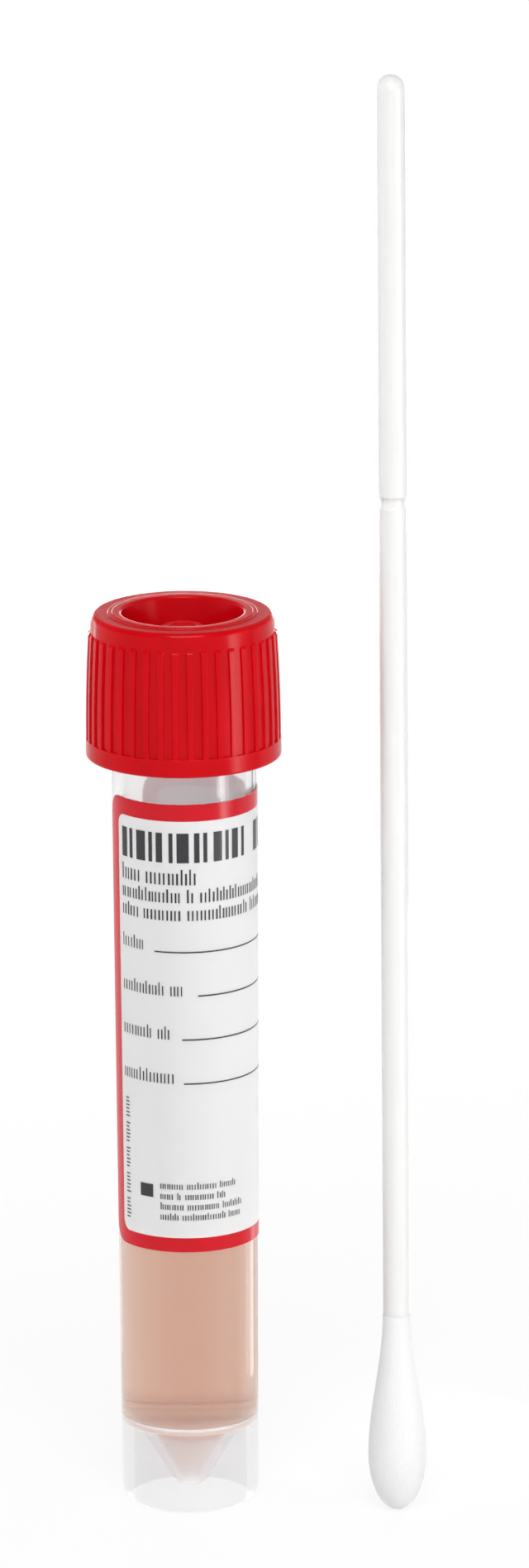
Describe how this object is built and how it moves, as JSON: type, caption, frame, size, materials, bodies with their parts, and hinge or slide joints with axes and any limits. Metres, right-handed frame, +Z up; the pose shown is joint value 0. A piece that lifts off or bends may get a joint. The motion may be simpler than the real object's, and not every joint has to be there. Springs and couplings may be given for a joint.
{
  "type": "specimen swab tube",
  "caption": "Skirted screw-cap tube with a conical bottom, wrap-round label and liquid medium, with a fibre-tipped swab whose shaft has a breaking notch.",
  "frame": {"origin": "on the tube's axis, on the surface that its foot stands on", "axes": "+Z up along the tube's axis, +X to the right as the label is read, towards the swab, -Y towards the front of the label"},
  "size_m": [0.0375, 0.0218, 0.1644],
  "materials": {
    "tube_plastic": "frosted clear polypropylene, satin",
    "cap_plastic": "red moulded plastic, satin gloss",
    "label_film": "white film with a red printed border, satin",
    "medium_liquid": "clear peach-coloured liquid",
    "shaft_plastic": "white moulded plastic, satin gloss",
    "bud_fibre": "white wound fibre, matte"
  },
  "bodies": {
    "tube": {"tube": "tube_plastic", "label": "label_film", "medium": "medium_liquid", "swab_shaft": "shaft_plastic", "swab_bud": "bud_fibre"},
    "cap": {"cap": "cap_plastic"}
  },
  "joints": [
    {"name": "cap_lift", "type": "slide", "parent": "tube", "child": "cap", "axis": [0, 0, 1], "range_m": [0, 0.035]}
  ]
}
